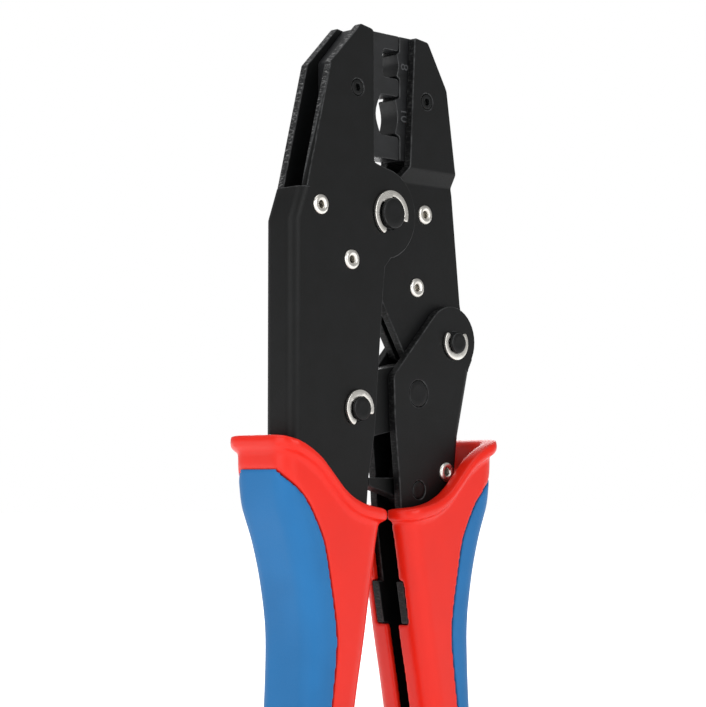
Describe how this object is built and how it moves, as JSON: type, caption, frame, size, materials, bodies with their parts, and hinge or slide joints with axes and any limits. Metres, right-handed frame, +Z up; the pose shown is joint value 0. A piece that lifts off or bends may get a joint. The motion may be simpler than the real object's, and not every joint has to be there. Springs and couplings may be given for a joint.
{
  "type": "ratchet crimping tool",
  "caption": "Hand crimping tool with plate-built jaws, crimping dies with nests, a ratcheted toggle linkage and two-colour moulded grips.",
  "frame": {"origin": "centre of the bottom of the bounding box, on the plane that both grip ends stand on", "axes": "+Z up along the tool towards the jaws, +X from the fixed side to the moving side, +Y from the front face to the back"},
  "size_m": [0.088, 0.027, 0.23],
  "materials": {
    "black_steel": "satin black oxide",
    "die_steel": "satin black oxide, ground faces",
    "plated_steel": "bright nickel plate",
    "red_plastic": "fine moulded texture",
    "blue_rubber": "soft satin"
  },
  "bodies": {
    "frame": {"frame_channel": "black_steel", "frame_spacer": "black_steel", "frame_rivet_upper": "plated_steel", "frame_rivet_lower": "plated_steel", "fixed_die": "die_steel", "fixed_die_screw": "black_steel", "main_pivot_pin": "black_steel", "main_pivot_clip": "plated_steel", "adjuster_lock_screw": "plated_steel", "left_grip_shell": "red_plastic", "left_grip_inlay": "blue_rubber", "return_spring": "plated_steel"},
    "jaw": {"jaw_front_plate": "black_steel", "jaw_back_plate": "black_steel", "jaw_spacer": "black_steel", "jaw_rivet_upper": "plated_steel", "jaw_rivet_lower": "plated_steel", "moving_die": "die_steel", "moving_die_screw": "black_steel"},
    "handle": {"handle_channel": "black_steel", "handle_pivot_pin": "black_steel", "handle_pivot_clip": "plated_steel", "toggle_rivet": "black_steel", "pawl_rivet": "black_steel", "spring_anchor_rivet": "plated_steel", "pawl_spring": "plated_steel", "right_grip_shell": "red_plastic", "right_grip_inlay": "blue_rubber"},
    "link": {"toggle_link": "die_steel"},
    "adjuster": {"link_pin": "black_steel", "link_pin_clip": "plated_steel", "adjuster_wheel": "plated_steel"},
    "pawl": {"ratchet_pawl": "die_steel"}
  },
  "joints": [
    {"name": "jaw_pivot", "type": "hinge", "parent": "frame", "child": "jaw", "pos_m": [0.0024, 0, 0.1775], "axis": [0, 1, 0], "range_deg": [0, 17]},
    {"name": "handle_pivot", "type": "hinge", "parent": "jaw", "child": "handle", "pos_m": [0.0293, 0, 0.1423], "axis": [0, -1, 0], "range_deg": [0, 50]},
    {"name": "link_pivot", "type": "hinge", "parent": "frame", "child": "link", "pos_m": [-0.0102, 0, 0.1223], "axis": [0, 1, 0], "range_deg": [0, 28.5], "deforming": ["return_spring"]},
    {"name": "pawl_pivot", "type": "hinge", "parent": "handle", "child": "pawl", "pos_m": [0.0143, 0, 0.0999], "axis": [0, 1, 0], "range_deg": [-6, 6], "stiffness_Nm_per_rad": 0.02, "deforming": ["pawl_spring"]},
    {"name": "adjuster_turn", "type": "hinge", "parent": "frame", "child": "adjuster", "pos_m": [-0.0102, 0, 0.1223], "axis": [0, 1, 0], "range_deg": [-150, 150]}
  ],
  "couplings": [
    {"joint": "jaw_pivot", "follows": "handle_pivot", "ratio": 0.336},
    {"joint": "link_pivot", "follows": "handle_pivot", "ratio": 0.56}
  ]
}
